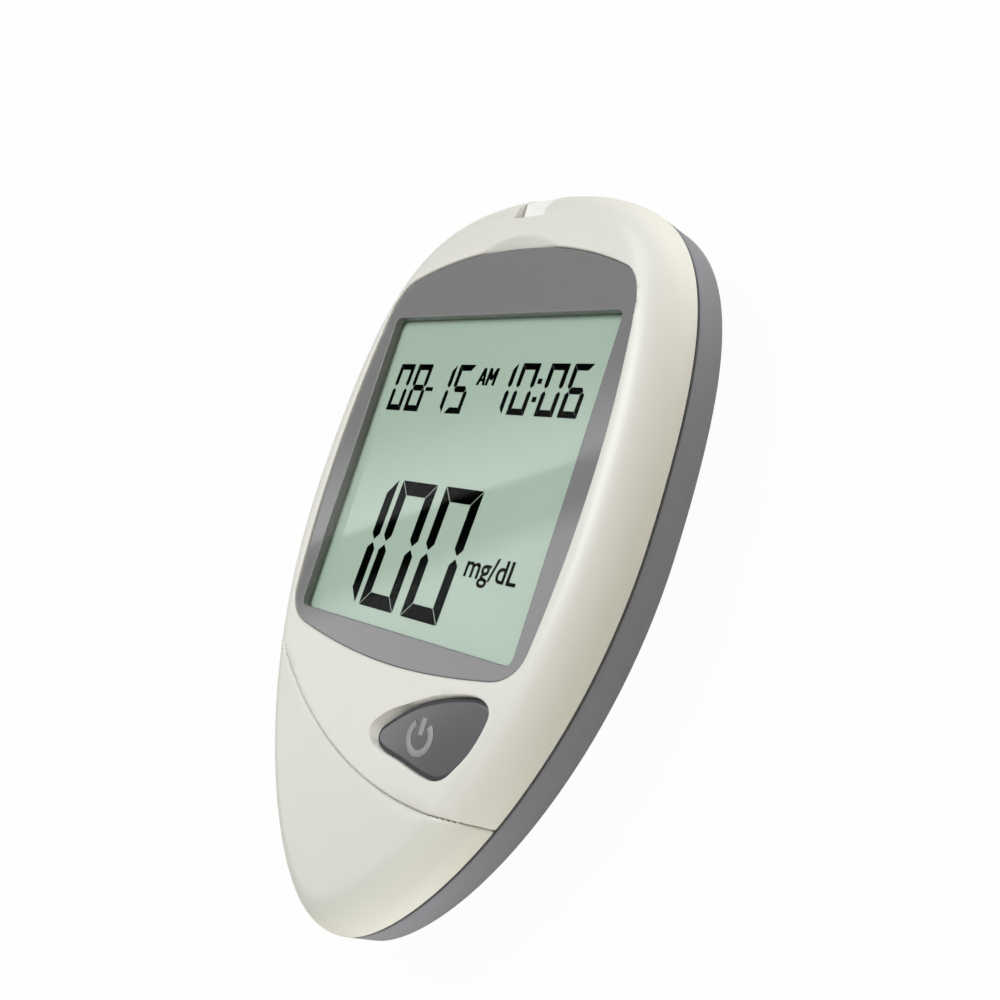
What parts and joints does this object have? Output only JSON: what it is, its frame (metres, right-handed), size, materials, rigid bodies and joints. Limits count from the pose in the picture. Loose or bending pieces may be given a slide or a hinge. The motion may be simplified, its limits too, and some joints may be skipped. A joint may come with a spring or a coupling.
{
  "type": "blood glucose meter",
  "caption": "Hand-held blood glucose meter: egg-shaped ivory and grey case with a large display, a fin-shaped button, a test strip port and a battery door.",
  "frame": {"origin": "centre of the bounding box's footprint, on the flat back that the meter rests on", "axes": "+Z out of the display, +Y along the meter towards the test strip port, +X to the right as the display is read"},
  "size_m": [0.061, 0.096, 0.0196],
  "materials": {
    "cover_ivory": "satin moulded plastic",
    "housing_grey": "fine satin moulded plastic",
    "bezel_grey": "gloss printed plate",
    "window_clear": "clear polished acrylic",
    "display_green": "reflective liquid crystal glass",
    "gasket_black": "closed-cell foam",
    "holder_white": "moulded plastic",
    "contact_rubber": "banded conductive rubber",
    "board_green": "solder mask over glass epoxy",
    "chip_black": "moulded resin",
    "can_steel": "drawn steel can",
    "parts_tan": "ceramic chips with tinned ends",
    "button_grey": "satin moulded plastic",
    "switch_black": "moulded plastic",
    "contact_gold": "gold-plated spring bronze",
    "guide_white": "gloss moulded plastic",
    "spring_nickel": "nickel-plated steel",
    "cell_sleeve": "printed sleeve over a steel can",
    "screw_steel": "zinc-plated steel"
  },
  "bodies": {
    "meter": {"front_cover": "cover_ivory", "chin_cover": "cover_ivory", "display_bezel": "bezel_grey", "display_window": "window_clear", "display_gasket": "gasket_black", "lcd_panel": "display_green", "lcd_holder": "holder_white", "zebra_strips": "contact_rubber", "circuit_board": "board_green", "microcontroller": "chip_black", "crystal": "can_steel", "small_parts": "parts_tan", "buzzer": "chip_black", "button_switch": "switch_black", "strip_guide": "guide_white", "strip_connector": "switch_black", "strip_contacts": "contact_gold", "rear_housing": "housing_grey", "battery_left": "cell_sleeve", "battery_right": "cell_sleeve", "battery_springs": "spring_nickel", "battery_plates": "spring_nickel", "set_switch": "switch_black", "housing_screws": "screw_steel", "board_screws": "screw_steel"},
    "main_button": {"main_button": "button_grey", "switch_plunger": "contact_gold"},
    "set_button": {"set_button": "holder_white", "set_plunger": "contact_gold"},
    "battery_door": {"battery_door": "housing_grey"}
  },
  "joints": [
    {"name": "main_button_press", "type": "slide", "parent": "meter", "child": "main_button", "axis": [0, 0, -1], "range_m": [0, 0.0005], "stiffness_N_per_m": 2000},
    {"name": "set_button_press", "type": "slide", "parent": "meter", "child": "set_button", "axis": [0, 0, 1], "range_m": [0, 0.00035], "stiffness_N_per_m": 2000},
    {"name": "battery_door_hinge", "type": "hinge", "parent": "meter", "child": "battery_door", "pos_m": [0, 0.033, 0.00015], "axis": [1, 0, 0], "range_deg": [0, 70]}
  ]
}
